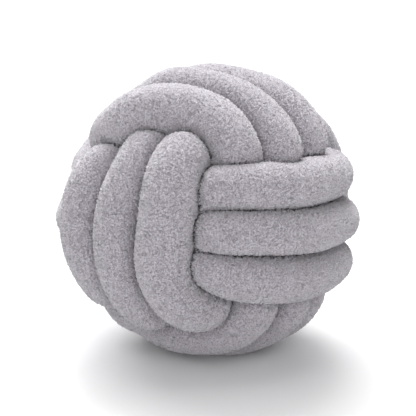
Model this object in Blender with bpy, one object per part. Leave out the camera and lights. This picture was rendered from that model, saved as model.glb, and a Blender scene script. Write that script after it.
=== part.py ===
"""Knot cushion: one long stuffed tube of nubby fleece, tied round itself into a ball.

The tube is laid in three bands of three turns. Each band goes over one of the other two and
under the next, as in a monkey's fist knot, and the two ends of the tube are joined inside the
ball. So the cushion is one closed tube that passes over and under itself, with its sections
pressed flat wherever a strand leans on its neighbour.

Metres, +Z up. The origin is on the floor under the middle of the ball, and the side that the
photograph shows faces -Y.
"""
import math

import bpy
import numpy as np
from mathutils.bvhtree import BVHTree

# The ball and its bands.
OUTER = 0.119  # from the ball's centre to the centre line of a strand that lies on the outside
INNER = 0.062  # the same where the strand runs under another band
PITCH = 0.046  # from strand to strand across a band
TURNS = 3
FACING = 50.0  # degrees from -Y to the right at which the first band's face looks
SETTLED = 0.97  # height over width: the ball sags a little under its own weight
FOOT = 0.006  # what the floor presses flat at the bottom

# The tube and its stuffing.
TUBE = 0.062  # thickness of the tube from inside the ball outwards, where nothing presses
NARROWER = 0.18  # how much narrower than that it is across, as a share
CREASE = 0.0008  # gap left in the crease between two strands
SPACING = 0.047  # centre lines of touching strands stay this far apart
CORE_FILL = 0.026  # how much further the stuffing bulges into the middle of the ball
OWN_LENGTH = 0.075  # along the tube, nearer than this a strand doesn't lean on itself
ROUNDNESS = 6.0  # how sharply a pressed section turns from its flat into its round

# How finely the centre line is laid out and the tube is lofted.
NODES = 480
RINGS = 374
SIDES = 16
SITES_PER_RING = 4

# Strands that are stuffed fuller than the rest: the front one of the top band, and the one
# beside the middle of the front.
FULLER = {"top_1": 0.14, "left_3": 0.14}

# Where each outer pass lies along the tube, counted in turns from the start of the first band.
PASSES = {
    "right_3": 0.25, "right_2": 1.25, "right_1": 2.25, "back_1": 2.75,
    "left_3": 3.75, "left_2": 4.75, "left_1": 5.75,
    "rear_3": 3.25, "rear_2": 4.25, "rear_1": 5.25,
    "low_3": 6.25, "low_2": 7.25, "low_1": 8.25,
    "top_3": 6.75, "top_2": 7.75, "top_1": 8.75,
}

# Where each strand's centre line runs, seen from the middle of the ball: degrees from -Y to the
# right, degrees up, and millimetres from the centre. The photograph shows those at the front.
# It doesn't show back_1, the rear ones or the first places of top_2 and top_3, which are guessed.
SEEN = {
    "left_3": ((-11, 33, 115), (-12, 19, 119), (-14, 5, 119), (-15, -6, 119), (-12, -19, 119),
               (-5, -29, 118), (4, -30, 111)),
    "left_2": ((-33, 30, 107), (-37, 19, 118), (-40, 6, 119), (-41, -6, 119), (-38, -20, 119),
               (-34, -35, 117)),
    "left_1": ((-60, 44, 80), (-59, 32, 102), (-61, 16, 121), (-63, 0, 123), (-62, -15, 122),
               (-60, -30, 117)),
    "right_1": ((0, 21, 106), (14, 22, 119), (28, 21, 119), (46, 21, 119), (65, 21, 120),
                (80, 19, 120)),
    "right_2": ((-1, 6, 112), (11, 5, 119), (27, 4, 119), (45, 2, 119), (65, 0, 119),
                (82, -2, 122)),
    "right_3": ((2, -8, 110), (11, -14, 119), (24, -19, 119), (42, -21, 119), (58, -22, 119),
                (77, -19, 123)),
    "top_1": ((-100, 31, 89), (-85, 36, 95), (-70, 42, 104), (-55, 46, 115), (-38, 50, 119),
              (-18, 56, 119), (2, 52, 119), (12, 45, 119), (14, 36, 117)),
    "top_2": ((-110, 67, 113), (-20, 79, 114), (34, 65, 120), (39, 51, 120), (39, 40, 119),
              (38, 31, 117)),
    "top_3": ((131, 75, 119), (88, 62, 122), (78, 52, 123), (69, 41, 121), (62, 31, 118)),
    "low_1": ((28, -34, 115), (21, -44, 119), (3, -56, 118), (-30, -62, 112), (-58, -54, 101)),
    "low_2": ((54, -36, 115), (57, -47, 119)),
    "low_3": ((72, -40, 119),),
    "back_1": ((-108, 20, 112), (-92, 20, 100)),
    "rear_3": ((100, 46, 114), (105, 29, 122), (107, 11, 122), (107, -8, 122), (106, -26, 122)),
    "rear_2": ((130, 10, 119), (131, -8, 119)),
    "rear_1": ((154, 10, 121), (155, -6, 121)),
}

FLEECE = (0.43, 0.40, 0.45, 1.0)


def ease(t):
    """Smooth step from 0 to 1."""
    t = np.clip(t, 0.0, 1.0)
    return t * t * (3.0 - 2.0 * t)


def lengths(points):
    """Distance from each point of a closed line to the next."""
    return np.linalg.norm(np.roll(points, -1, axis=0) - points, axis=1)


def even_out(points, count, carried=None, lap=0.0):
    """A closed line through points with its nodes evenly spaced, and a carried value if given."""
    closed = np.vstack([points, points[:1]])
    along = np.concatenate([[0.0], np.cumsum(lengths(points))])
    want = np.linspace(0.0, along[-1], count, endpoint=False)
    line = np.column_stack([np.interp(want, along, closed[:, k]) for k in range(3)])
    if carried is None:
        return line
    return line, np.interp(want, along, np.append(carried, carried[0] + lap))


def band(face, over, across, start, sense, side):
    """Three turns of one band as (points, turn count).

    The turns run round in the plane of face and over. They lie outside where they cross face
    and inside where they cross over, and step one pitch along across at the start of each turn.
    """
    steps = 60
    turn = np.linspace(0.0, TURNS, TURNS * steps + 1)
    angle = np.radians(start + sense * 360.0 * turn)
    radius = INNER + (OUTER - INNER) * (1.0 - np.sin(angle) ** 4)
    crossing = np.round(turn)
    step = crossing - 1.0 + ease(((turn - crossing) * 360.0 + 40.0) / 80.0)
    step = np.where(crossing <= 0, 0.0, np.where(crossing >= TURNS, TURNS - 1.0, step))
    shift = side * (step - (TURNS - 1) / 2.0) * PITCH
    ring = radius[:, None] * (np.cos(angle)[:, None] * face + np.sin(angle)[:, None] * over)
    return ring + shift[:, None] * across, turn


def joining_curve(before, after, count):
    """Points of the hidden run from the end of one band to the start of the next."""
    start, end = before[-1], after[0]
    span = 1.2 * np.linalg.norm(end - start)
    leave = before[-1] - before[-2]
    arrive = after[1] - after[0]
    leave = leave / np.linalg.norm(leave) * span
    arrive = arrive / np.linalg.norm(arrive) * span
    s = np.linspace(0.0, 1.0, count + 2)[1:-1, None]
    return ((2 * s**3 - 3 * s**2 + 1) * start + (s**3 - 2 * s**2 + s) * leave
            + (3 * s**2 - 2 * s**3) * end + (s**3 - s**2) * arrive)


def knot_layout():
    """The knot as it is laid out, before it is drawn tight: (centre line, turn count)."""
    facing = math.radians(FACING)
    right = np.array([math.sin(facing), -math.cos(facing), 0.0])
    left = np.array([-math.cos(facing), -math.sin(facing), 0.0])
    up = np.array([0.0, 0.0, 1.0])
    bands = [
        band(right, left, up, 90.0, -1, 1),
        band(left, up, right, 90.0, 1, -1),
        band(up, right, left, 270.0, -1, 1),
    ]
    trim, joint = 6, 8
    points, turns = [], []
    for i, (ring, turn) in enumerate(bands):
        following = bands[(i + 1) % 3][0][trim:-trim]
        ring, turn = ring[trim:-trim], turn[trim:-trim] + TURNS * i
        points += [ring, joining_curve(ring, following, joint)]
        ends = turn[-1], TURNS * (i + 1) + turn[0] - TURNS * i
        turns += [turn, np.linspace(*ends, joint + 2)[1:-1]]
    return even_out(np.vstack(points), NODES, np.concatenate(turns), 3.0 * TURNS)


def press_apart(line):
    """Move strands that are closer than SPACING apart, and even out the bends."""
    count = len(line)
    index = np.arange(count)
    along = np.abs(index[:, None] - index[None])
    along = np.minimum(along, count - along)
    other = along > max(3, int(1.4 * SPACING / lengths(line).mean()))
    offset = line[:, None] - line[None]
    distance = np.linalg.norm(offset, axis=2) + 1e-9
    lacking = np.where(other & (distance < SPACING), SPACING - distance, 0.0)
    push = (offset / distance[..., None] * lacking[..., None]).sum(axis=1)
    push /= np.maximum((lacking > 0).sum(axis=1), 1)[:, None]
    bend = (np.roll(line, 1, axis=0) + np.roll(line, -1, axis=0)) / 2 - line
    bend_change = (np.roll(bend, 1, axis=0) + np.roll(bend, -1, axis=0)) / 2 - bend
    line = line + 0.5 * push + 0.2 * bend - 0.25 * bend_change
    return even_out(line - line.mean(axis=0), count)


def hold_round(line):
    """Bring the strands of the outer layer half way to the ball's own radius."""
    radius = np.linalg.norm(line, axis=1)
    outside = 0.5 * ease((radius - 0.085) / 0.020)
    return line * (1.0 + outside * (OUTER - radius) / radius)[:, None]


def seen_point(azimuth, elevation, distance):
    """A place from SEEN in the round ball, which is squashed to SETTLED at the end."""
    azimuth, elevation = math.radians(azimuth), math.radians(elevation)
    point = np.array([
        math.sin(azimuth) * math.cos(elevation),
        -math.cos(azimuth) * math.cos(elevation),
        math.sin(elevation) / SETTLED,
    ])
    return point / np.linalg.norm(point) * distance / 1000.0


def from_pass(turns, name):
    """Turns from each node to the middle of a named pass, the short way round the loop."""
    whole = 3.0 * TURNS
    return (turns - PASSES[name] + whole / 2) % whole - whole / 2


def draw_to_photo(line, turns, strength, reach=0.018):
    """Draw each strand towards its places in SEEN."""
    count = len(line)
    step = lengths(line).mean()
    index = np.arange(count)
    unit = line / np.linalg.norm(line, axis=1)[:, None]
    total = np.zeros((count, 3))
    weight = np.zeros(count)
    for name, places in SEEN.items():
        near = np.abs(from_pass(turns, name)) < 0.3
        for place in places:
            target = seen_point(*place)
            nearest = int(np.where(near, unit @ target, -1.0).argmax())
            along = np.abs(index - nearest)
            along = np.minimum(along, count - along) * step
            pull = np.exp(-along**2 / (2 * reach**2))
            total += pull[:, None] * (target - line[nearest])
            weight += pull
    return line + strength * total / np.maximum(weight, 1.0)[:, None]


def knot_line():
    """The centre line of the tied knot in its round ball, with its turn count."""
    line, turns = knot_layout()
    rounds = 60
    for done in range(rounds):
        for _ in range(3):
            line = press_apart(line)
        line = hold_round(line)
        line = draw_to_photo(line, turns, 0.7 if done < rounds - 10 else 0.4)
    return even_out(line, NODES), turns


def refine(values, count):
    """Values at the nodes of a closed line, read at count even steps of a smooth curve."""
    at = np.arange(count) * len(values) / count
    i = at.astype(int)
    s = (at - i).reshape((-1,) + (1,) * (values.ndim - 1))
    p0, p1, p2, p3 = (values[(i + k) % len(values)] for k in (-1, 0, 1, 2))
    return 0.5 * (2 * p1 + (p2 - p0) * s + (2 * p0 - 5 * p1 + 4 * p2 - p3) * s**2
                  + (3 * p1 - p0 - 3 * p2 + p3) * s**3)


def smooth_along(values, width):
    """Average round the loop with a bell of the given width in nodes."""
    span = np.arange(-3 * width, 3 * width + 1)
    bell = np.exp(-(span / width) ** 2 / 2)
    bell /= bell.sum()
    return sum(w * np.roll(values, int(k), axis=0) for k, w in zip(span, bell))


def unit_rows(vectors):
    """Each row scaled to length 1."""
    return vectors / np.linalg.norm(vectors, axis=1)[:, None]


def frames(line):
    """Tangent, outward direction and the direction across, at each node."""
    tangent = unit_rows(np.roll(line, -1, axis=0) - np.roll(line, 1, axis=0))
    outward = line - (line * tangent).sum(axis=1)[:, None] * tangent
    width = max(1, int(round(0.022 / lengths(line).mean())))
    outward = smooth_along(outward, width)
    outward = unit_rows(outward - (outward * tangent).sum(axis=1)[:, None] * tangent)
    return tangent, outward, np.cross(tangent, outward)


def fullness(turns):
    """How full the tube is stuffed at each node, 1 for the ordinary strand."""
    full = np.ones(len(turns))
    for name, extra in FULLER.items():
        full += extra * np.exp(-(from_pass(turns, name) / 0.18) ** 4)
    return full


def sections(line, full, every, sides):
    """The pressed sections of the tube at every so many nodes: (centres, rays, radii).

    A section reaches out to the plane half way to each other strand, and no further than the
    tube's own round or half the way to the centre of its bend. Fuller strands push the plane
    away from them.
    """
    count = len(line)
    step = lengths(line).mean()
    tangent, outward, across = frames(line)
    bend = smooth_along((np.roll(tangent, -1, axis=0) - np.roll(tangent, 1, axis=0)) / (2 * step), 2)
    angle = np.arange(sides) * 2 * math.pi / sides
    index = np.arange(count)
    reach = (full * PITCH / 2) ** 2
    rays, radii = [], []
    for i in range(0, count, every):
        away = np.abs(index - i)
        other = np.minimum(away, count - away) * step > OWN_LENGTH
        to_other = line[other] - line[i]
        distance = (to_other**2).sum(axis=1)
        ray = np.cos(angle)[:, None] * outward[i] + np.sin(angle)[:, None] * across[i]
        facing = np.maximum(ray @ to_other.T, 1e-6)
        plane = ((distance + reach[i] - reach[other]) / 2 / facing).min(axis=1) - CREASE / 2
        depth = np.linalg.norm(line[i])
        inward = np.maximum(-(ray @ line[i]) / depth, 0.0) ** 2
        own = (TUBE / 2 * full[i] * (1.0 - NARROWER * np.sin(angle) ** 2)
               + CORE_FILL * ease((0.130 - depth) / 0.045) * inward)
        turning = 0.85 / np.maximum(ray @ bend[i], 1e-3)
        radius = sum(r**-ROUNDNESS for r in (plane, own, turning)) ** (-1 / ROUNDNESS)
        rays.append(ray)
        radii.append(radius)
    return line[::every, None], np.array(rays), np.array(radii)


def loft_faces(count, sides):
    """The triangles over the rings of a closed tube."""
    faces = []
    for i in range(count):
        here, there = i * sides, (i + 1) % count * sides
        for j in range(sides):
            k = (j + 1) % sides
            faces.append((here + j, here + k, there + k))
            faces.append((here + j, there + k, there + j))
    return faces


def open_creases(centre, ray, radius):
    """Draw walls back until the flat faces of the loft clear each other all round.

    The pressed walls are curved and meet all along, so flat faces between the rings would cut
    through each other there by up to a millimetre.
    """
    faces = loft_faces(*radius.shape)
    corners = [set(face) for face in faces]
    radius = radius.copy()
    for _ in range(60):
        wide = centre + (radius + CREASE / 2)[..., None] * ray
        tree = BVHTree.FromPolygons(wide.reshape(-1, 3).tolist(), faces)
        crossing = set()
        for a, b in tree.overlap(tree):
            if a < b and not corners[a] & corners[b]:
                crossing |= corners[a] | corners[b]
        if not crossing:
            break
        radius.flat[sorted(crossing)] -= 0.0004
    return centre + radius[..., None] * ray


def settle(points):
    """Squash the ball to its height, stand it on the floor and press its foot flat."""
    points = points * [1.0, 1.0, SETTLED]
    low, high = points.min(axis=(0, 1)), points.max(axis=(0, 1))
    points = points - [(low[0] + high[0]) / 2, (low[1] + high[1]) / 2, low[2] + FOOT]
    points[..., 2] = np.maximum(points[..., 2], 0.0)
    return points


def loft(name, points):
    """A mesh over the rings of a closed tube."""
    mesh = bpy.data.meshes.new(name)
    mesh.from_pydata(points.reshape(-1, 3).tolist(), [], loft_faces(*points.shape[:2]))
    mesh.shade_smooth()
    return mesh


def fleece():
    """Lavender grey fleece."""
    material = bpy.data.materials.new("fleece")
    material.use_nodes = True
    shader = material.node_tree.nodes["Principled BSDF"]
    shader.inputs["Base Color"].default_value = FLEECE
    shader.inputs["Roughness"].default_value = 0.95
    shader.inputs["Metallic"].default_value = 0.0
    material.diffuse_color = FLEECE
    return material


def main():
    """Build the cushion."""
    for old in list(bpy.data.objects):
        bpy.data.objects.remove(old)
    line, turns = knot_line()
    fine = refine(line, RINGS * SITES_PER_RING)
    full = refine(fullness(turns), RINGS * SITES_PER_RING)
    points = settle(open_creases(*sections(fine, full, SITES_PER_RING, SIDES)))
    tube = bpy.data.objects.new("knot_tube", loft("knot_tube", points))
    tube.data.materials.append(fleece())
    parts = bpy.data.collections.new("knot_cushion")
    bpy.context.scene.collection.children.link(parts)
    parts.objects.link(tube)


main()
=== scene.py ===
"""Knot cushion: one long stuffed tube of nubby fleece, tied round itself into a ball.

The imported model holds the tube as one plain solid. This script makes it again with its short
curly pile, in nine lengths of one turn that meet inside the ball, in a plain pale studio.

Metres, +Z up. The origin is on the floor under the middle of the ball, and the side that the
photograph shows faces -Y.
"""
from __future__ import annotations

import logging
import math
from collections.abc import Mapping, Sequence
from dataclasses import dataclass, field
from enum import Enum
from typing import Any

import bpy
import numpy as np
import numpy.typing as npt
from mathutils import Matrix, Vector

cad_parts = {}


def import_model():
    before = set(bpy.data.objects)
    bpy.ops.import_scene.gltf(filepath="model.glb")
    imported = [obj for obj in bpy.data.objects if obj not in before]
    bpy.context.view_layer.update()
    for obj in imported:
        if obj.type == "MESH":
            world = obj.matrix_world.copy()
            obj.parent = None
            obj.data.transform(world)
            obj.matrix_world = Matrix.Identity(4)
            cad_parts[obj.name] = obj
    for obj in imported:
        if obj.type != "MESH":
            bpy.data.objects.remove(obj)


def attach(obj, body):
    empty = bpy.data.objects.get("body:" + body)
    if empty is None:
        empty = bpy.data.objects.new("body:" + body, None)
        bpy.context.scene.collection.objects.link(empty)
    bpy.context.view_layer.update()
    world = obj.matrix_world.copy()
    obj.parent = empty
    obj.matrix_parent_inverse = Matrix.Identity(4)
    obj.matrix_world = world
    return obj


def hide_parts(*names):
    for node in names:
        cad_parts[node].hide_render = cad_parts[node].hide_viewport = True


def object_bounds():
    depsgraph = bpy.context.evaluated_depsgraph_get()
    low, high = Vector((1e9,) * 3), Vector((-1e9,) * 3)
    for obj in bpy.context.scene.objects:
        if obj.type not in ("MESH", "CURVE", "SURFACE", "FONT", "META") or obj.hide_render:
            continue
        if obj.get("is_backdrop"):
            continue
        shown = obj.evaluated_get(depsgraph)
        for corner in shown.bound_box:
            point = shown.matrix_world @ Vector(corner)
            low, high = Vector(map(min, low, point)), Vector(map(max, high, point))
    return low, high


Array = npt.NDArray[np.float64]
Colour = tuple[float, float, float, float]

log = logging.getLogger("knot_cushion")


class Strand(Enum):
    """The strands on the outside of the ball, each with its place along the tube.

    The value is the number of turns from the start of the first band to the middle of the
    strand's outer pass.
    """

    RIGHT_3 = 0.25
    RIGHT_2 = 1.25
    RIGHT_1 = 2.25
    BACK_1 = 2.75
    REAR_3 = 3.25
    LEFT_3 = 3.75
    REAR_2 = 4.25
    LEFT_2 = 4.75
    REAR_1 = 5.25
    LEFT_1 = 5.75
    LOW_3 = 6.25
    LOW_2 = 7.25
    LOW_1 = 8.25
    TOP_3 = 6.75
    TOP_2 = 7.75
    TOP_1 = 8.75


# Where each strand's centre line runs, seen from the middle of the ball: degrees from -Y to the
# right, degrees up, and millimetres from the centre. The photograph shows those at the front.
# It doesn't show BACK_1, the rear ones or the first places of TOP_2 and TOP_3, which are guessed.
SEEN: Mapping[Strand, Sequence[tuple[float, float, float]]] = {
    Strand.LEFT_3: ((-11, 33, 115), (-12, 19, 119), (-14, 5, 119), (-15, -6, 119),
                    (-12, -19, 119), (-5, -29, 118), (4, -30, 111)),
    Strand.LEFT_2: ((-33, 30, 107), (-37, 19, 118), (-40, 6, 119), (-41, -6, 119),
                    (-38, -20, 119), (-34, -35, 117)),
    Strand.LEFT_1: ((-60, 44, 80), (-59, 32, 102), (-61, 16, 121), (-63, 0, 123),
                    (-62, -15, 122), (-60, -30, 117)),
    Strand.RIGHT_1: ((0, 21, 106), (14, 22, 119), (28, 21, 119), (46, 21, 119),
                     (65, 21, 120), (80, 19, 120)),
    Strand.RIGHT_2: ((-1, 6, 112), (11, 5, 119), (27, 4, 119), (45, 2, 119), (65, 0, 119),
                     (82, -2, 122)),
    Strand.RIGHT_3: ((2, -8, 110), (11, -14, 119), (24, -19, 119), (42, -21, 119),
                     (58, -22, 119), (77, -19, 123)),
    Strand.TOP_1: ((-100, 31, 89), (-85, 36, 95), (-70, 42, 104), (-55, 46, 115),
                   (-38, 50, 119), (-18, 56, 119), (2, 52, 119), (12, 45, 119),
                   (14, 36, 117)),
    Strand.TOP_2: ((-110, 67, 113), (-20, 79, 114), (34, 65, 120), (39, 51, 120),
                   (39, 40, 119), (38, 31, 117)),
    Strand.TOP_3: ((131, 75, 119), (88, 62, 122), (78, 52, 123), (69, 41, 121),
                   (62, 31, 118)),
    Strand.LOW_1: ((28, -34, 115), (21, -44, 119), (3, -56, 118), (-30, -62, 112),
                   (-58, -54, 101)),
    Strand.LOW_2: ((54, -36, 115), (57, -47, 119)),
    Strand.LOW_3: ((72, -40, 119),),
    Strand.BACK_1: ((-108, 20, 112), (-92, 20, 100)),
    Strand.REAR_3: ((100, 46, 114), (105, 29, 122), (107, 11, 122), (107, -8, 122),
                    (106, -26, 122)),
    Strand.REAR_2: ((130, 10, 119), (131, -8, 119)),
    Strand.REAR_1: ((154, 10, 121), (155, -6, 121)),
}

# Strands that are stuffed fuller than the rest.
FULLER: Mapping[Strand, float] = {Strand.TOP_1: 0.14, Strand.LEFT_3: 0.14}


def ease(t: Any) -> Any:
    """Smooth step: 3 t squared minus 2 t cubed, with t held between 0 and 1."""
    t = np.clip(t, 0.0, 1.0)
    return t * t * (3.0 - 2.0 * t)


def unit_rows(vectors: Array) -> Array:
    """Each vector divided by its length."""
    return vectors / np.linalg.norm(vectors, axis=-1, keepdims=True)


def square_to(vectors: Array, axes: Array) -> Array:
    """The part of each vector that stands square to its unit axis."""
    return vectors - (vectors * axes).sum(axis=1)[:, None] * axes


def steps_round(points: Array) -> Array:
    """Distance from each point of a closed line to the next."""
    return np.linalg.norm(np.roll(points, -1, axis=0) - points, axis=1)


def apart_round(one: Array | int, other: Array | int, count: int) -> Array:
    """Steps between two members of a closed series, the short way round."""
    apart = np.abs(one - other)
    return np.minimum(apart, count - apart)


def even_out(points: Array, count: int) -> Array:
    """A closed line with evenly spaced nodes.

    Each coordinate is read off, as a function of the distance run, at count equal steps.

    Args:
        points: The nodes of a closed line.
        count: How many nodes the new line has.

    Returns:
        The new nodes.
    """
    closed = np.vstack([points, points[:1]])
    run = np.append(0.0, np.cumsum(steps_round(points)))
    want = np.linspace(0.0, run[-1], count, endpoint=False)
    return np.column_stack([np.interp(want, run, closed[:, k]) for k in range(3)])


def read_smoothly(values: Array, at: Array) -> Array:
    """Values of a closed series between its members.

    A Catmull-Rom cubic through the two members on each side of every place.

    Args:
        values: The series along its first axis. It closes on itself.
        at: Places to read, counted in members. They may lie beyond either end.

    Returns:
        The values at those places, one row each.
    """
    whole = np.floor(at).astype(int)
    s = (at - whole).reshape((-1,) + (1,) * (values.ndim - 1))
    p0, p1, p2, p3 = (values[(whole + k) % len(values)] for k in (-1, 0, 1, 2))
    return 0.5 * (2 * p1 + (p2 - p0) * s + (2 * p0 - 5 * p1 + 4 * p2 - p3) * s**2
                  + (3 * p1 - p0 - 3 * p2 + p3) * s**3)


def smooth_round(values: Array, width: int) -> Array:
    """Average round a closed series with a bell.

    Args:
        values: The series along its first axis.
        width: The bell's standard deviation, in members.

    Returns:
        The smoothed series.
    """
    span = np.arange(-3 * width, 3 * width + 1)
    bell = np.exp(-(span / width) ** 2 / 2)
    bell /= bell.sum()
    return sum(w * np.roll(values, int(k), axis=0) for k, w in zip(span, bell))


def space_out(at: Array, length: Array | float, gap: Array, multiple: int = 1) -> Array:
    """Pick places that lie a wanted distance apart.

    The inverse of that distance is summed along the way and read back at equal steps.

    Args:
        at: Fine places in order.
        length: Distance from each to the next.
        gap: Wanted distance at each.
        multiple: What the number of steps is a multiple of.

    Returns:
        The picked places, with both ends.
    """
    run = np.append(0.0, np.cumsum(length * (1 / gap[1:] + 1 / gap[:-1]) / 2))
    steps = multiple * math.ceil(run[-1] / multiple)
    return np.interp(np.linspace(0.0, run[-1], steps + 1), run, at)


def put(name: str, data: bpy.types.ID) -> bpy.types.Object:
    """Make an object of some data and put it in the scene."""
    made = bpy.data.objects.new(name, data)
    bpy.context.scene.collection.objects.link(made)
    return made


@dataclass(frozen=True)
class Band:
    """Three turns of the tube side by side, as one band of the knot.

    Attributes:
        face: Direction in which the band lies outermost.
        over: Direction in which another band lies over it.
        across: Direction in which the turns step.
        start: Angle from face at which the first turn starts, in degrees.
        sense: 1 or -1, which way round the turns run.
        side: 1 or -1, from which side of the band the turns start.
    """

    face: Array
    over: Array
    across: Array
    start: float
    sense: int
    side: int

    def lay(self, knot: KnotLine) -> tuple[Array, Array]:
        """Lay the three turns out round the ball.

        The radius goes from outer at the face to inner where the band runs under, with the
        fourth power of the angle's sine. Between turns, where the tube is hidden, it steps one
        pitch along across on an eased ramp.

        Args:
            knot: The sizes of the knot.

        Returns:
            The points of the centre line, and the number of turns run at each.
        """
        turn = np.linspace(0.0, knot.turns, knot.turns * knot.per_turn + 1)
        angle = np.radians(self.start + self.sense * 360.0 * turn)
        radius = knot.inner + (knot.outer - knot.inner) * (1.0 - np.sin(angle) ** 4)
        crossing = np.round(turn)
        past = (turn - crossing) * 360.0 + knot.ramp / 2
        step = np.clip(crossing - 1.0 + ease(past / knot.ramp), 0.0, knot.turns - 1.0)
        shift = self.side * (step - (knot.turns - 1) / 2.0) * knot.pitch
        round_it = np.cos(angle)[:, None] * self.face + np.sin(angle)[:, None] * self.over
        return radius[:, None] * round_it + shift[:, None] * self.across, turn


@dataclass
class KnotLine:
    """The centre line of the tube, tied as a ball knot of three bands.

    Attributes:
        outer: From the ball's centre to a strand's centre line on the outside.
        inner: The same where the strand runs under another band.
        pitch: From strand to strand across a band.
        turns: Turns in each band.
        facing: Degrees from -Y to the right at which the first band's face looks.
        spacing: Distance that the centre lines of touching strands keep.
        settled: Height over width of the ball that sags under its own weight.
        ramp: Degrees in which the tube steps over from one turn of a band to the next.
        per_turn: Points in each turn as it is laid out.
        nodes: Nodes of the tied centre line.
        line: The tied centre line, in the round ball about its middle.
        count: Turns run at each node of line, from the start of the first band.
    """

    outer: float = 0.119
    inner: float = 0.062
    pitch: float = 0.046
    turns: int = 3
    facing: float = 50.0
    spacing: float = 0.047
    settled: float = 0.97
    ramp: float = 80.0
    per_turn: int = 60
    nodes: int = 480
    line: Array = field(init=False, repr=False)
    count: Array = field(init=False, repr=False)

    @property
    def lap(self) -> float:
        """Turns in the whole tube."""
        return 3.0 * self.turns

    def __post_init__(self) -> None:
        """Lay the knot out and draw it tight."""
        self.line, self.count = self._laid_out()
        firmly, gently = 50, 10
        for strength in [0.7] * firmly + [0.4] * gently:
            for _ in range(3):
                self._press_apart()
            self._hold_round()
            self._draw_to_sightings(strength)
        self.line = even_out(self.line, self.nodes)

    def _laid_out(self) -> tuple[Array, Array]:
        """The knot before it is drawn tight.

        Each band follows the one before it through a cubic Hermite curve inside the ball,
        whose two tangents are 1.2 times as long as the gap.

        Returns:
            The nodes of the centre line, and the number of turns run at each.
        """
        facing = math.radians(self.facing)
        right = np.array([math.sin(facing), -math.cos(facing), 0.0])
        left = np.array([-math.cos(facing), -math.sin(facing), 0.0])
        up = np.array([0.0, 0.0, 1.0])
        trim, joint = 6, 8
        laid = [Band(right, left, up, 90.0, -1, 1).lay(self),
                Band(left, up, right, 90.0, 1, -1).lay(self),
                Band(up, right, left, 270.0, -1, 1).lay(self)]
        points, count = [], []
        s = np.linspace(0.0, 1.0, joint + 2)[1:-1, None]
        for i, (ring, turn) in enumerate(laid):
            ring, turn = ring[trim:-trim], turn[trim:-trim] + self.turns * i
            after = laid[(i + 1) % 3][0][trim:-trim]
            gap = 1.2 * np.linalg.norm(after[0] - ring[-1])
            leave, arrive = gap * unit_rows(np.array([ring[-1] - ring[-2], after[1] - after[0]]))
            inside = ((2 * s**3 - 3 * s**2 + 1) * ring[-1] + (s**3 - 2 * s**2 + s) * leave
                      + (3 * s**2 - 2 * s**3) * after[0] + (s**3 - s**2) * arrive)
            ends = turn[-1], self.turns * (i + 1) + turn[0] - self.turns * i
            points += [ring, inside]
            count += [turn, np.linspace(*ends, joint + 2)[1:-1]]
        line, counted = np.vstack(points), np.concatenate(count)
        run = np.append(0.0, np.cumsum(steps_round(line)))
        want = np.linspace(0.0, run[-1], self.nodes, endpoint=False)
        closed = np.append(counted, counted[0] + self.lap)
        return even_out(line, self.nodes), np.interp(want, run, closed)

    def _press_apart(self) -> None:
        """Move strands that are too close apart, and even out the bends.

        Every node moves by half the mean of what it lacks to spacing from nodes further along
        the tube than 1.4 times that, then by a fifth of its offset from the middle of its
        neighbours, less a quarter of how that offset differs from theirs.
        """
        line = self.line
        index = np.arange(len(line))
        along = apart_round(index[:, None], index[None], len(line))
        other = along > max(3, int(1.4 * self.spacing / steps_round(line).mean()))
        offset = line[:, None] - line[None]
        distance = np.linalg.norm(offset, axis=2) + 1e-9
        lacking = np.where(other & (distance < self.spacing), self.spacing - distance, 0.0)
        push = (offset / distance[..., None] * lacking[..., None]).sum(axis=1)
        push /= np.maximum((lacking > 0).sum(axis=1), 1)[:, None]
        bend = (np.roll(line, 1, axis=0) + np.roll(line, -1, axis=0)) / 2 - line
        change = (np.roll(bend, 1, axis=0) + np.roll(bend, -1, axis=0)) / 2 - bend
        line = line + 0.5 * push + 0.2 * bend - 0.25 * change
        self.line = even_out(line - line.mean(axis=0), len(line))

    def _hold_round(self) -> None:
        """Bring strands half way to the ball's radius, eased in from 85 to 105 mm out."""
        radius = np.linalg.norm(self.line, axis=1)
        share = 0.5 * ease((radius - 0.085) / 0.020)
        self.line = self.line * (1.0 + share * (self.outer - radius) / radius)[:, None]

    def _sighted(self, azimuth: float, elevation: float, distance: float) -> Array:
        """A sighting as a point of the round ball.

        Args:
            azimuth: Degrees from -Y to the right.
            elevation: Degrees up, in the settled ball.
            distance: Millimetres from the middle of the round ball.

        Returns:
            The point, about the middle of the ball.
        """
        azimuth, elevation = math.radians(azimuth), math.radians(elevation)
        away = np.array([math.sin(azimuth) * math.cos(elevation),
                         -math.cos(azimuth) * math.cos(elevation),
                         math.sin(elevation) / self.settled])
        return away / np.linalg.norm(away) * distance / 1000.0

    def from_pass(self, strand: Strand) -> Array:
        """Turns from each node to the middle of a strand's outer pass, the short way round."""
        half = self.lap / 2
        return (self.count - strand.value + half) % self.lap - half

    def _draw_to_sightings(self, strength: float, reach: float = 0.018,
                           within: float = 0.3) -> None:
        """Draw each strand towards its places in SEEN.

        The node nearest to a sighting is drawn to it, and its neighbours with it by a bell.
        Where bells meet, their pulls are averaged.

        Args:
            strength: Share of the way that a node moves.
            reach: Standard deviation of the bell along the tube.
            within: Turns from the middle of its pass up to which a strand is drawn.
        """
        count = len(self.line)
        step = steps_round(self.line).mean()
        index = np.arange(count)
        away = unit_rows(self.line)
        total, weight = np.zeros((count, 3)), np.zeros(count)
        for strand, places in SEEN.items():
            near = np.abs(self.from_pass(strand)) < within
            for place in places:
                target = self._sighted(*place)
                nearest = int(np.where(near, away @ target, -1.0).argmax())
                along = apart_round(index, nearest, count) * step
                pull = np.exp(-along**2 / (2 * reach**2))
                total += pull[:, None] * (target - self.line[nearest])
                weight += pull
        self.line = self.line + strength * total / np.maximum(weight, 1.0)[:, None]

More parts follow.
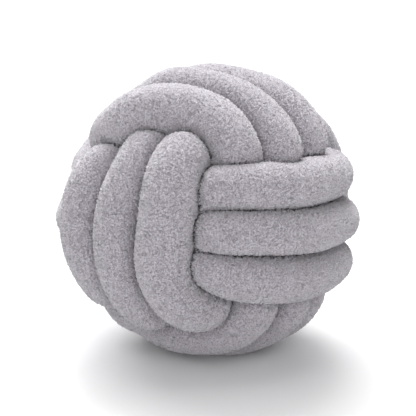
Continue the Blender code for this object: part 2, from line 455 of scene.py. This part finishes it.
    def fullness(self) -> Array:
        """How full the tube is stuffed at each node, 1 for the ordinary strand.

        A fuller strand adds its share times a flat-topped bell that reaches 0.18 turns each
        way.
        """
        full = np.ones(len(self.count))
        for strand, extra in FULLER.items():
            full += extra * np.exp(-(self.from_pass(strand) / 0.18) ** 4)
        return full

    def places_of_turns(self) -> Array:
        """Where each whole turn starts, counted in nodes, from turn 0 to the last turn's end."""
        turned = np.concatenate([self.count - self.lap, self.count, self.count + self.lap])
        at = np.arange(-len(self.count), 2 * len(self.count))
        return np.interp(np.arange(self.lap + 1), turned, at)


@dataclass
class PressedTube:
    """The surface of the stuffed tube, with its sections pressed where strands touch.

    Attributes:
        knot: The tied centre line.
        tube: Thickness of the tube from inside the ball outwards, where nothing presses on it.
        The surface of the stuffed tube, with its sections squashed where strands touch.
        crease: Gap in the crease between two strands.
        core_fill: How much further the stuffing bulges into the middle of the ball.
        own_length: Along the tube, nearer than this a strand doesn't lean on itself.
        roundness: How sharply a squashed section turns from its flat into its round.
        foot: What the floor presses flat at the bottom.
        stations: Sections worked out along the tube.
        sides: Rays in each section.
    """

    knot: KnotLine
    tube: float = 0.062
    narrower: float = 0.18
    crease: float = 0.0008
    core_fill: float = 0.026
    own_length: float = 0.075
    roundness: float = 6.0
    foot: float = 0.006
    stations: int = 1440
    sides: int = 64
    line: Array = field(init=False, repr=False)
    outward: Array = field(init=False, repr=False)
    across: Array = field(init=False, repr=False)
    radius: Array = field(init=False, repr=False)
    room: Array = field(init=False, repr=False)
    drop: Array = field(init=False, repr=False)

    def __post_init__(self) -> None:
        """Work out the frame and the section at each station."""
        at = np.arange(self.stations) * len(self.knot.line) / self.stations
        self.line = read_smoothly(self.knot.line, at)
        full = read_smoothly(self.knot.fullness(), at)
        step = steps_round(self.line).mean()
        steady = 0.022
        tangent = unit_rows(np.roll(self.line, -1, axis=0) - np.roll(self.line, 1, axis=0))
        outward = smooth_round(square_to(self.line, tangent), max(1, int(round(steady / step))))
        self.outward = unit_rows(square_to(outward, tangent))
        self.across = np.cross(tangent, self.outward)
        turning = (np.roll(tangent, -1, axis=0) - np.roll(tangent, 1, axis=0)) / (2 * step)
        bend = smooth_round(turning, 2)
        at_once = 24
        blocks = np.array_split(np.arange(self.stations), self.stations // at_once)
        found = [self._sections(block, full, bend, step) for block in blocks]
        self.radius = np.concatenate([radius for radius, _ in found])
        self.room = np.concatenate([room for _, room in found])
        self.drop = self._drop()

    def _sections(self, block: npt.NDArray[np.int_], full: Array, bend: Array,
                  step: float) -> tuple[Array, Array]:
        """The squashed sections at some stations.

        A wall stands half way to every other strand, moved by half the difference of the
        squares of the two fullness radii over the distance. It is half of crease nearer along
        each ray. The radius is the power mean, with the exponent minus roundness, of the
        nearest wall, the tube's own round, and 0.85 times the radius of the bend. The own
        round loses narrower times the square of the sine of the ray's angle. It gains
        core_fill times the square of how straight the ray looks at the middle of the ball,
        eased in from 130 to 85 mm out.

        Args:
            block: The stations.
            full: Fullness at every station.
            bend: Curvature vector at every station.
            step: Distance between stations.

        Returns:
            The radius along each ray, and the room left between it and the wall, up to 6 mm.
        """
        angle = self._angles(self.sides)
        ray = self._rays(self.outward[block], self.across[block], angle)
        index = np.arange(self.stations)
        apart = apart_round(index[None], block[:, None], self.stations)
        own = apart * step <= self.own_length
        offset = self.line[None] - self.line[block][:, None]
        square = (offset**2).sum(axis=2)
        reach = (full * self.knot.pitch / 2) ** 2
        half = np.where(own, np.inf, (square + reach[block][:, None] - reach[None]) / 2)
        facing = np.maximum(ray @ offset.transpose(0, 2, 1), 1e-6)
        wall = (half[:, None] / facing).min(axis=2) - self.crease / 2
        depth = np.linalg.norm(self.line[block], axis=1)[:, None]
        inward = np.maximum(-(ray * self.line[block][:, None]).sum(axis=2) / depth, 0.0) ** 2
        free = self.tube / 2 * full[block][:, None] * (1.0 - self.narrower * np.sin(angle)**2) \
            + self.core_fill * ease((0.130 - depth) / 0.045) * inward
        bent = 0.85 / np.maximum((ray * bend[block][:, None]).sum(axis=2), 1e-3)
        power = sum(r**-self.roundness for r in (wall, free, bent))
        radius = power ** (-1 / self.roundness)
        return radius, np.minimum(wall - radius, 0.006)

    @staticmethod
    def _angles(sides: int) -> Array:
        """Angles of evenly spread rays, from outward round through across."""
        return np.arange(sides) * 2 * math.pi / sides

    @staticmethod
    def _rays(outward: Array, across: Array, angle: Array) -> Array:
        """Rays of each section: cosine times outward plus sine times across."""
        return (np.cos(angle)[None, :, None] * outward[:, None]
                + np.sin(angle)[None, :, None] * across[:, None])

    def _drop(self) -> Array:
        """What is taken off every point to stand the settled ball on the floor, centred."""
        ray = self._rays(self.outward, self.across, self._angles(self.sides))
        points = self.line[:, None] + self.radius[..., None] * ray
        points = points * [1.0, 1.0, self.knot.settled]
        low, high = points.min(axis=(0, 1)), points.max(axis=(0, 1))
        return np.array([(low[0] + high[0]) / 2, (low[1] + high[1]) / 2, low[2] + self.foot])

    def surface(self, at: Array, angle: Array) -> tuple[Array, Array]:
        """The settled surface on a grid of places along the tube and angles round it.

        A point is the centre line plus the radius times the ray, with its height scaled by
        settled, and shifted on to the floor.

        Args:
            at: Places along the tube, counted in nodes of the knot.
            angle: Angles round the section, from outward.

        Returns:
            Points with axes place, angle and coordinate, and the room to the next strand.
        """
        along = self._along(at)
        outward = unit_rows(read_smoothly(self.outward, along))
        across = unit_rows(read_smoothly(self.across, along))
        side = angle * self.sides / (2 * math.pi)
        radius, room = (read_smoothly(read_smoothly(held, along).T, side).T
                        for held in (self.radius, self.room))
        ray = self._rays(outward, across, angle)
        points = read_smoothly(self.line, along)[:, None] + radius[..., None] * ray
        return points * [1.0, 1.0, self.knot.settled] - self.drop, np.maximum(room, 0.0)

    def depth(self, at: Array) -> Array:
        """Distance of the centre line from the middle of the ball at some places."""
        return np.linalg.norm(read_smoothly(self.line, self._along(at)), axis=1)

    def _along(self, at: Array) -> Array:
        """Places in nodes of the knot, counted in stations."""
        return at * self.stations / len(self.knot.line)


def scatter(cell: npt.NDArray[np.int64], salt: int) -> Array:
    """A fixed number from 0 to 1 for every cell of a lattice.

    The cell's coordinates are multiplied by large odd numbers, joined by exclusive or and
    stirred by shifts and products.

    Args:
        cell: Cells, with their three coordinates on the last axis.
        salt: Picks one of many such lattices.

    Returns:
        One number for each cell.
    """
    x, y, z = (cell[..., k].astype(np.uint32) for k in range(3))
    h = x * np.uint32(0x8DA6B343) ^ y * np.uint32(0xD8163841) ^ z * np.uint32(0xCB1AB31F)
    h ^= np.uint32(salt * 0x9E3779B9 & 0xFFFFFFFF)
    for shift, factor in ((15, 0x2C1B3C6D), (12, 0x297A2D39)):
        h ^= h >> np.uint32(shift)
        h *= np.uint32(factor)
    h ^= h >> np.uint32(15)
    return h / 2.0**32


def crisp(scattered: Array) -> Array:
    """A scatter on a grid that is even over any patch of it.

    Each value less the mean over the three by three values round it, plus a half.

    Args:
        scattered: Values from 0 to 1.

    Returns:
        Values about 0.5.
    """
    mean = scattered
    for axis in (0, 1):
        mean = sum(np.roll(mean, k, axis=axis) for k in (-1, 0, 1)) / 3
    return scattered - mean + 0.5


@dataclass(frozen=True)
class Pile:
    """The short curly pile of the fleece, as nubs on the surface of the tube.

    Attributes:
        height: How far the highest nub stands over the deepest pit beside it.
        sunk: How far the pits lie under the plain surface.
        uneven: How much the nubs differ in height, from 0 for all alike to 1.
        astray: How far a nub is moved off its place, in steps of the grid.
        finest: Widest step of the grid that still carries whole nubs.
        tuft: Width of the tufts that stick out of the creases between strands.
        tuft_height: How far a tuft stands over the gap beside it.
        crease: Room to the next strand within which there are tufts.
        shade: Room to the next strand within which the pile is painted darker as shade.
        mat: Least height of a nub that a neighbouring strand presses on.
    """

    height: float = 0.0032
    sunk: float = 0.0014
    uneven: float = 0.8
    astray: float = 0.9
    finest: float = 0.0022
    tuft: float = 0.0036
    tuft_height: float = 0.0042
    crease: float = 0.0058
    shade: float = 0.0045
    mat: float = 0.0022

    @staticmethod
    def _to_seed(points: Array, size: float, salt: int) -> Array:
        """Distance to the nearest seed of a jittered lattice, in cell widths.

        Every cell holds one seed at a scattered place. The least distance is taken over the
        cell and its 26 neighbours.

        Args:
            points: Places, with their coordinates on the last axis.
            size: Width of a cell.
            salt: Picks the lattice.

        Returns:
            One distance for each place.
        """
        scaled = points / size
        cell = np.floor(scaled).astype(np.int64)
        nearest = np.full(points.shape[:-1], np.inf)
        for beside in np.ndindex(3, 3, 3):
            corner = cell + np.array(beside) - 1
            square = np.zeros(points.shape[:-1])
            for axis in range(3):
                seed = corner[..., axis] + scatter(corner, salt + axis)
                square += (scaled[..., axis] - seed) ** 2
            nearest = np.minimum(nearest, square)
        return np.sqrt(nearest)

    def lay(self, points: Array, room: Array, number: int) -> tuple[Array, Array]:
        """Lay the pile on a grid of the plain surface.

        The grid points are taken as a chequerboard of tips at 1 and pits at 0, mixed with a
        crisp scatter by uneven. Every point is also moved along the surface by a crisp
        scatter of up to half of astray of a grid step each way. All this fades out as the step
        of the grid grows by 1.2 mm past finest.
        A tuft is one minus the square of the distance to its seed over 0.95 cells, and fades
        out with the distance from the crease. Between strands the pile has only the room up
        to the middle of the crease, and mat more.

        Args:
            points: The grid, with axes ring, line and coordinate.
            room: Room to the neighbouring strand at each point.
            number: Which turn of the tube it is, so that no two have the same nubs.

        Returns:
            The points of the pile, and how far up a nub each is, from 0 to 1.
        """
        around = (np.roll(points, -1, axis=1) - np.roll(points, 1, axis=1)) / 2
        along = np.gradient(points, axis=0)
        outwards = unit_rows(np.cross(around, along))
        step = np.maximum(np.linalg.norm(around, axis=2), np.linalg.norm(along, axis=2))
        fine = 1.0 - ease((step - self.finest) / 0.0012)

        ring, line = np.indices(room.shape)
        cell = np.stack([ring, line, np.full(room.shape, number)], axis=-1)
        high, left, far = (crisp(scatter(cell, salt)) for salt in (5, 17, 29))
        tip = (ring + line) % 2 == 0
        nubs = np.clip((1.0 - self.uneven) * tip + self.uneven * high, 0.0, 1.0)
        tufts = np.clip(1.0 - (self._to_seed(points, self.tuft, 11) / 0.95) ** 2, 0.0, 1.0)
        height = fine * (self.height * nubs - self.sunk) \
            + self.tuft_height * (tufts - 0.5) * (1.0 - ease(room / self.crease))
        height = np.minimum(height, room + self.mat)
        shift = (self.astray * fine)[..., None]
        moved = shift * ((left - 0.5)[..., None] * around + (far - 0.5)[..., None] * along)
        return points + moved + height[..., None] * outwards, nubs


class Wire:
    """A shader socket. Arithmetic on it adds Math nodes to its graph."""

    def __init__(self, graph: Graph, socket: bpy.types.NodeSocket) -> None:
        """Hold a socket of a graph.

        Args:
            graph: The graph that gets the nodes.
            socket: The output to work on.
        """
        self.graph = graph
        self.socket = socket

    def _with(self, operation: str, other: Wire | float) -> Wire:
        """The output of a Math node on this and another value."""
        return self.graph.node("ShaderNodeMath", {"operation": operation}, {0: self, 1: other})

    def __add__(self, other: Wire | float) -> Wire:
        """This plus other."""
        return self._with("ADD", other)

    def __sub__(self, other: Wire | float) -> Wire:
        """This minus other."""
        return self._with("SUBTRACT", other)

    def __mul__(self, other: Wire | float) -> Wire:
        """This times other."""
        return self._with("MULTIPLY", other)

    __radd__, __rmul__ = __add__, __mul__


class Graph:
    """The nodes of one material or world."""

    def __init__(self, owner: bpy.types.Material | bpy.types.World) -> None:
        """Start with no nodes.

        Args:
            owner: The material or world that gets the nodes.
        """
        owner.use_nodes = True
        self.tree = owner.node_tree
        self.tree.nodes.clear()

    def node(self, kind: str, settings: Mapping[str, Any] | None = None,
             sockets: Mapping[str | int, Any] | None = None, output: str | int = 0) -> Wire:
        """Add a node.

        Args:
            kind: Blender's name of the node's type.
            settings: Properties of the node. The key stops gives a colour ramp's stops as
                pairs of place and colour.
            sockets: A Wire or a plain value for each input that is used.
            output: Which output is handed back.

        Returns:
            The output, ready for arithmetic.
        """
        made = self.tree.nodes.new(kind)
        for name, value in (settings or {}).items():
            if name == "stops":
                ramp = made.color_ramp.elements
                while len(ramp) < len(value):
                    ramp.new(0.5)
                for stop, (place, colour) in zip(ramp, value):
                    stop.position, stop.color = place, colour
            else:
                setattr(made, name, value)
        for name, value in (sockets or {}).items():
            if isinstance(value, Wire):
                self.tree.links.new(value.socket, made.inputs[name])
            else:
                made.inputs[name].default_value = value
        return Wire(self, made.outputs[output] if made.outputs else made.inputs[0])


@dataclass(frozen=True)
class FleeceFinish:
    """Lavender grey curly fleece: pale tips, darker pits, and a faint fuzz at its edges.

    Attributes:
        name: The material's name.
        pit: Colour between the nubs and curls, darker there as painted shade.
        body: Colour of a nub's side.
        tip: Colour of a nub's tip, paler there as painted light.
        gap_shade: Colour that multiplies the pile in the gaps among curls, as painted shade.
        curl: Width of a curl.
        gaps: How common the dark gaps of painted shade are away from the creases, up to 1 for
            everywhere.
        sharpness: How sharply a gap begins.
        fibre: Width of single fibres.
        patch: Width of the faint patches.
        bump: How far curls and fibres stand up.
        roughness: Roughness of the fibres.
        specular: Strength of their highlights.
        sheen: Strength of the fuzz.
        sheen_roughness: Spread of the fuzz.
    """

    name: str = "curly_fleece"
    pit: Colour = (0.215, 0.198, 0.222, 1.0)
    body: Colour = (0.425, 0.398, 0.442, 1.0)
    tip: Colour = (0.64, 0.605, 0.66, 1.0)
    gap_shade: Colour = (0.10, 0.09, 0.11, 1.0)
    curl: float = 0.0014
    gaps: float = 0.26
    sharpness: float = 5.0
    fibre: float = 0.0008
    patch: float = 1.0 / 22.0
    bump: float = 0.0012
    roughness: float = 1.0
    specular: float = 0.15
    sheen: float = 0.55
    sheen_roughness: float = 0.5

    def material(self) -> bpy.types.Material:
        """Build the material.

        Curls are Voronoi cells of the curl's width in the object's own space, and fibres are
        noise. The tone runs the colour from pit to tip. It rises with the nub attribute,
        towards the middle of each curl, and with the fibres: painted shade in the pits and
        between the curls, painted light on the nub tips, and the pile's own random tone from
        the fibres. Some cells are gaps instead, picked by each cell's chance, few where the
        mask of painted crease shade is 0 and most where it is 1. There the colour is
        multiplied by the dark gap colour, which is painted shade. Curls and fibres also raise
        the bump.

        Returns:
            The material.
        """
        made = bpy.data.materials.new(self.name)
        graph = Graph(made)
        place = graph.node("ShaderNodeTexCoord", output="Object")
        nub, pressed = (graph.node("ShaderNodeAttribute", {"attribute_name": name}, output="Fac")
                        for name in ("nub", "pressed"))
        cells = {"feature": "F1"}, {"Vector": place, "Scale": 1.0 / self.curl}
        curls = graph.node("ShaderNodeTexVoronoi", *cells)
        chance = graph.node("ShaderNodeTexVoronoi", *cells, output="Color")
        fibres = graph.node("ShaderNodeTexNoise", None,
                            {"Vector": place, "Scale": 1.0 / self.fibre, "Detail": 2.0,
                             "Roughness": 0.6})
        patches = graph.node("ShaderNodeTexNoise", None,
                             {"Vector": place, "Scale": 1.0 / self.patch, "Detail": 1.0})
        # Painted shade darkens the pits and the edges of the curls, painted light brightens the
        # nub tips, and the fibres and patches are the pile's own random tone.
        tone = (0.57 + 0.3 * nub - 0.8 * curls + 0.4 * (fibres - 0.5)
                + 0.05 * (patches - 0.5))
        # Dark gaps among the curls are painted shade: few on the open pile, most in the creases
        # between strands.
        gaps = self.gaps + 1.05 * pressed - 0.8 * chance - 0.4 * curls
        gaps = graph.node("ShaderNodeMath", {"operation": "MULTIPLY", "use_clamp": True},
                          {0: gaps, 1: self.sharpness})
        colour = graph.node("ShaderNodeValToRGB",
                            {"stops": [(0.0, self.pit), (0.45, self.body), (1.0, self.tip)]},
                            {"Fac": tone})
        colour = graph.node("ShaderNodeMix", {"data_type": "RGBA", "blend_type": "MULTIPLY"},
                            {0: gaps, 6: colour, 7: self.gap_shade}, output=2)
        bump = graph.node("ShaderNodeBump", None,
                          {"Strength": 1.0, "Distance": self.bump,
                           "Height": 0.6 * fibres - 0.4 * curls})
        shader = graph.node("ShaderNodeBsdfPrincipled", None,
                            {"Base Color": colour, "Roughness": self.roughness,
                             "Normal": bump, "Specular IOR Level": self.specular,
                             "Sheen Weight": self.sheen,
                             "Sheen Roughness": self.sheen_roughness,
                             "Sheen Tint": (1.0, 1.0, 1.0, 1.0)})
        graph.node("ShaderNodeOutputMaterial", None, {"Surface": shader})
        made.diffuse_color = self.body
        return made


@dataclass(frozen=True)
class FloorFinish:
    """Plain white studio floor.

    Attributes:
        name: The material's name.
        colour: Its colour.
        roughness: Its roughness.
    """

    name: str = "studio_floor"
    colour: Colour = (0.90, 0.90, 0.905, 1.0)
    roughness: float = 0.9

    def material(self) -> bpy.types.Material:
        """Build the material from one matt shader."""
        made = bpy.data.materials.new(self.name)
        graph = Graph(made)
        shader = graph.node("ShaderNodeBsdfPrincipled", None,
                            {"Base Color": self.colour, "Roughness": self.roughness,
                             "Specular IOR Level": 0.0})
        graph.node("ShaderNodeOutputMaterial", None, {"Surface": shader})
        return made


@dataclass
class TubeTurn:
    """One turn of the stuffed tube, from inside the ball round the outside and in again.

    Attributes:
        number: Which turn it is, from 1.
        tube: The surface that it is cut from.
        pile: The pile on it.
        start: Where it starts along the tube, in nodes of the knot.
        end: Where it ends.
        grain: Distance between grid lines where the pile shows.
        plain: Distance between rings inside the ball.
        back: Distance between lines round the side that looks into the ball.
        shows: Degrees from outward up to which the pile shows.
    """

    number: int
    tube: PressedTube
    pile: Pile
    start: float
    end: float
    grain: float = 0.00132
    plain: float = 0.006
    back: float = 0.009
    shows: float = 92.0

    def _places(self) -> Array:
        """Places of the rings, close where the strand lies on the outside.

        The distance between rings, along the outermost line of the tube, goes from plain to
        grain on an eased ramp as the centre line rises from 88 to 97 mm from the middle.
        """
        fine = np.linspace(self.start, self.end, 2000)
        shown = ease((self.tube.depth(fine) - 0.088) / 0.009)
        gap = self.plain + (self.grain - self.plain) * shown
        crown = self.tube.surface(fine, np.zeros(1))[0][:, 0]
        return space_out(fine, np.linalg.norm(np.diff(crown, axis=0), axis=1), gap)

    def _angles(self) -> Array:
        """Angles of the lines round the section, close where the pile shows.

        The distance between lines, at half the tube's thickness, goes from grain to back on an
        eased ramp of 30 degrees past shows. Their number is even, so that the pile closes
        round the section.
        """
        turn = np.linspace(-math.pi, math.pi, 3601)
        hidden = ease((np.abs(np.degrees(turn)) - self.shows) / 30.0)
        gap = self.grain + (self.back - self.grain) * hidden
        return space_out(turn, (turn[1] - turn[0]) * self.tube.tube / 2, gap, 2)[:-1]

    def build(self) -> bpy.types.Object:
        """Make the mesh of the turn.

        The pile is laid on the plain surface and stops at the floor. The mask of painted
        shade in the creases is the square of one minus the eased room over shade. Each end is
        closed by a fan of triangles to the middle of its last ring.

        Returns:
            The finished piece, in its place.
        """
        places, angles = self._places(), self._angles()
        plain, room = self.tube.surface(places, angles)
        points, nubs = self.pile.lay(plain, room, self.number)
        points[..., 2] = np.maximum(points[..., 2], 0.0)
        # Mask of the painted shade in the creases: 1 where the next strand touches, 0 from shade
        # away.
        pressed = (1.0 - ease(room / self.pile.shade)) ** 2
        mesh = self._mesh(points, nubs)
        for name, values in (("nub", nubs), ("pressed", pressed)):
            ends = values[0].mean(), values[-1].mean()
            held = mesh.attributes.new(name, "FLOAT", "POINT")
            held.data.foreach_set("value", np.append(values.ravel(), ends).astype(np.float32))
        return put(mesh.name, mesh)

    def _mesh(self, points: Array, nubs: Array) -> bpy.types.Mesh:
        """The closed mesh over a grid of points.

        A face is folded along the diagonal whose ends are further up their nubs, so some of
        them start from another corner. The map runs along the tube from left to right and
        round it from bottom to top, with a narrow strip at each side for the end's fan.

        Args:
            points: The grid, with axes ring, line and coordinate.
            nubs: How far up a nub each point is.

        Returns:
            The mesh, with faces that look outwards.
        """
        rings, lines = points.shape[:2]
        middles = points[[0, -1]].mean(axis=1)
        ring, line = np.indices((rings - 1, lines))[..., None]
        ring, line = ring + [0, 0, 1, 1], line + [0, 1, 1, 0]
        beside = np.roll(nubs, -1, axis=1)
        turned = beside[:-1] + nubs[1:] > nubs[:-1] + beside[1:]
        for corner in (ring, line):
            corner[turned] = np.roll(corner[turned], 1, axis=-1)
        low = np.arange(lines)
        high = low + 1
        first, last, rim = rings * lines, rings * lines + 1, (rings - 1) * lines
        starts = np.column_stack([np.full(lines, first), high % lines, low])
        ends = np.column_stack([np.full(lines, last), rim + low, rim + high % lines])
        corners = np.concatenate([(ring * lines + line % lines).ravel(), starts.ravel(),
                                  ends.ravel()])
        sizes = np.concatenate([np.full(turned.size, 4), np.full(2 * lines, 3)])

        mesh = bpy.data.meshes.new(f"tube_turn_{self.number}")
        mesh.vertices.add(rings * lines + 2)
        mesh.vertices.foreach_set("co", np.vstack([points.reshape(-1, 3), middles])
                                  .astype(np.float32).ravel())
        mesh.loops.add(len(corners))
        mesh.loops.foreach_set("vertex_index", corners.astype(np.int32))
        mesh.polygons.add(len(sizes))
        mesh.polygons.foreach_set("loop_start", (np.cumsum(sizes) - sizes).astype(np.int32))
        mesh.update(calc_edges=True)
        mesh.polygons.foreach_set("use_smooth", np.ones(len(sizes), bool))

        edge = 0.02
        wall = np.stack([edge + (1.0 - 2.0 * edge) * ring / (rings - 1), line / lines], axis=-1)
        low, high = low / lines, high / lines
        fans = np.empty((2, lines, 3, 2))
        fans[0, :, :, 0], fans[1, :, :, 0] = (0.0, edge, edge), (1.0, 1.0 - edge, 1.0 - edge)
        fans[0, :, :, 1] = np.column_stack([(low + high) / 2, high, low])
        fans[1, :, :, 1] = np.column_stack([(low + high) / 2, low, high])
        uv = mesh.uv_layers.new(name="OFBake", do_init=False)
        uv.uv.foreach_set("vector", np.concatenate([wall.ravel(), fans.ravel()])
                          .astype(np.float32))
        mesh.validate()
        return mesh


@dataclass
class KnotCushion:
    """The whole cushion: the tied tube in nine lengths of one turn each.

    Attributes:
        knot: The tied centre line.
        pile: The pile of the fleece.
        finish: Colour and feel of the fleece.
        fill: How full it is stuffed, from 0 to 1. Not used.
    """

    knot: KnotLine = field(default_factory=KnotLine)
    pile: Pile = field(default_factory=Pile)
    finish: FleeceFinish = field(default_factory=FleeceFinish)
    fill: float = 0.85

    def build(self) -> list[bpy.types.Object]:
        """Make every turn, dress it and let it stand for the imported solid.

        Returns:
            The finished pieces.
        """
        tube = PressedTube(self.knot)
        fleece = self.finish.material()
        cuts = self.knot.places_of_turns()
        pieces = []
        for number, (start, end) in enumerate(zip(cuts[:-1], cuts[1:]), 1):
            piece = TubeTurn(number, tube, self.pile, start, end).build()
            piece.data.materials.append(fleece)
            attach(piece, "root")
            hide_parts("knot_tube")
            triangles = sum(len(p.vertices) - 2 for p in piece.data.polygons)
            log.info("%s: %d triangles", piece.name, triangles)
            pieces.append(piece)
        return pieces


@dataclass(frozen=True)
class SoftLight:
    """A broad soft light a long way off.

    Attributes:
        name: Its name.
        left: Degrees by which it leans to the left.
        back: Degrees by which it leans to the back, or to the front below zero.
        spread: How wide it looks from the cushion, in degrees.
        strength: What it lights a face turned to it with, 1 to show a white one as white.
        flagged: Whether it is kept off the floor.
    """

    name: str
    left: float
    back: float
    spread: float
    strength: float
    flagged: bool = False

    def place(self, pieces: bpy.types.Collection) -> None:
        """Hang the light.

        Args:
            pieces: The cushion's pieces, which alone get a flagged light.
        """
        data = bpy.data.lights.new(self.name, "SUN")
        data.energy, data.angle = self.strength * math.pi, math.radians(self.spread)
        light = put(self.name, data)
        left, back = (math.tan(math.radians(lean)) for lean in (self.left, self.back))
        light.rotation_euler = Vector((-left, back, 1.0)).to_track_quat("Z", "Y").to_euler()
        if self.flagged:
            light.light_linking.receiver_collection = pieces


# The studio's lights: mostly from overhead and behind, with a fill from the front.
LIGHTS: Sequence[SoftLight] = (
    SoftLight("overhead", 0.0, 10.0, 60.0, 0.39),
    SoftLight("back_high", 0.0, 30.0, 30.0, 0.44),
    SoftLight("back_low", 0.0, 60.0, 30.0, 0.32),
    SoftLight("back_left", 30.0, 40.0, 40.0, 0.45),
    SoftLight("left_side", 60.0, 0.0, 60.0, 0.12),
    SoftLight("right_side", -60.0, 0.0, 60.0, 0.09),
    SoftLight("front_high", 0.0, -40.0, 60.0, 0.18),
    SoftLight("front_low", 0.0, -75.0, 60.0, 0.69),
    SoftLight("back_rim", 0.0, 20.0, 30.0, 0.85, flagged=True),
)


@dataclass
class Studio:
    """Plain pale floor, soft light from all round and above, and the photograph's camera.

    Attributes:
        floor_size: Width of the floor.
        backdrop: Brightness of the plain backdrop as it looks.
        backdrop_light: Brightness with which it lights the cushion.
        elevation: Degrees from which the camera looks down.
        distance: From the camera to the point that it looks at.
        ball: Width of the ball.
        ball_pixels: The same in the photograph, in pixels.
        middle_pixel: Where the photograph shows the middle of the ball.
        frame_pixels: Width and height of the photograph.
    """

    floor_size: float = 60.0
    backdrop: float = 1.0
    backdrop_light: float = 0.02
    elevation: float = 12.5
    distance: float = 1.05
    ball: float = 0.30
    ball_pixels: float = 299.0
    middle_pixel: tuple[float, float] = (206.5, 209.5)
    frame_pixels: float = 416.0

    def build(self, height: float, pieces: Sequence[bpy.types.Object]) -> None:
        """Set the floor, the lights and the camera.

        Args:
            height: Height of the cushion.
            pieces: Its pieces.
        """
        seen_as = bpy.context.scene.view_settings
        seen_as.view_transform, seen_as.look = "Standard", "None"
        self._floor()
        self._light(pieces)
        self._camera(height)

    def _floor(self) -> None:
        """A flat square floor just under the foot of the cushion."""
        half, below, cells = self.floor_size / 2, 0.0002, 8
        row = cells + 1
        x, y = np.meshgrid(*[np.linspace(-half, half, row)] * 2)
        points = np.column_stack([x.ravel(), y.ravel(), np.full(x.size, -below)])
        corner = (np.arange(cells)[:, None] * row + np.arange(cells)).ravel()
        faces = np.column_stack([corner, corner + 1, corner + row + 1, corner + row])
        mesh = bpy.data.meshes.new("studio_floor")
        mesh.from_pydata(points.tolist(), [], faces.tolist())
        mesh.materials.append(FloorFinish().material())
        put("studio_floor", mesh)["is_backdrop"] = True
        log.info("studio_floor: %d faces", len(mesh.polygons))

    def _light(self, pieces: Sequence[bpy.types.Object]) -> None:
        """The lights, and a plain white backdrop all round that hardly lights the cushion.

        Args:
            pieces: The cushion's pieces.
        """
        world = bpy.data.worlds.new("studio_backdrop")
        graph = Graph(world)
        looked_at = graph.node("ShaderNodeLightPath", output="Is Camera Ray")
        strength = self.backdrop_light + (self.backdrop - self.backdrop_light) * looked_at
        backdrop = graph.node("ShaderNodeBackground", None,
                              {"Color": (1.0, 1.0, 1.0, 1.0), "Strength": strength})
        graph.node("ShaderNodeOutputWorld", None, {"Surface": backdrop})
        bpy.context.scene.world = world
        lit = bpy.data.collections.new("cushion")
        for piece in pieces:
            lit.objects.link(piece)
        for light in LIGHTS:
            light.place(lit)

    def _camera(self, height: float) -> None:
        """A camera at the photograph's angle that frames the ball as the photograph does.

        Half the frame fills the half angle at the distance of the ball's middle. The point
        looked at is that middle, moved by what it is off the photograph's middle.

        Args:
            height: Height of the cushion.
        """
        pixel = self.ball / self.ball_pixels
        half = math.atan(pixel * self.frame_pixels / 2 / self.distance)
        tilt = math.radians(self.elevation)
        up = Vector((0.0, math.sin(tilt), math.cos(tilt)))
        back = Vector((0.0, -math.cos(tilt), math.sin(tilt)))
        off = [(self.frame_pixels / 2 - at) * pixel for at in self.middle_pixel]
        aim = Vector((off[0], 0.0, height / 2)) - up * off[1]
        data = bpy.data.cameras.new("camera")
        data.sensor_width = sensor = 36.0
        data.lens = sensor / (2 * math.tan(half))
        data.clip_start, data.clip_end = 0.02, 200.0
        bpy.context.scene.camera = camera = put("camera", data)
        camera.location = aim + back * self.distance
        camera.rotation_euler = back.to_track_quat("Z", "Y").to_euler()


def main() -> None:
    """Build the cushion and its studio, with the camera framed by the imported model's height."""
    logging.basicConfig(level=logging.INFO, format="%(name)s: %(message)s")
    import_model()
    packed = [list(corner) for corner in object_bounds()]
    pieces = KnotCushion().build()
    log.info("%d turns of the tube", len(pieces))
    Studio().build(packed[1][2] - packed[0][2], pieces)


if __name__ == "__main__":
    main()
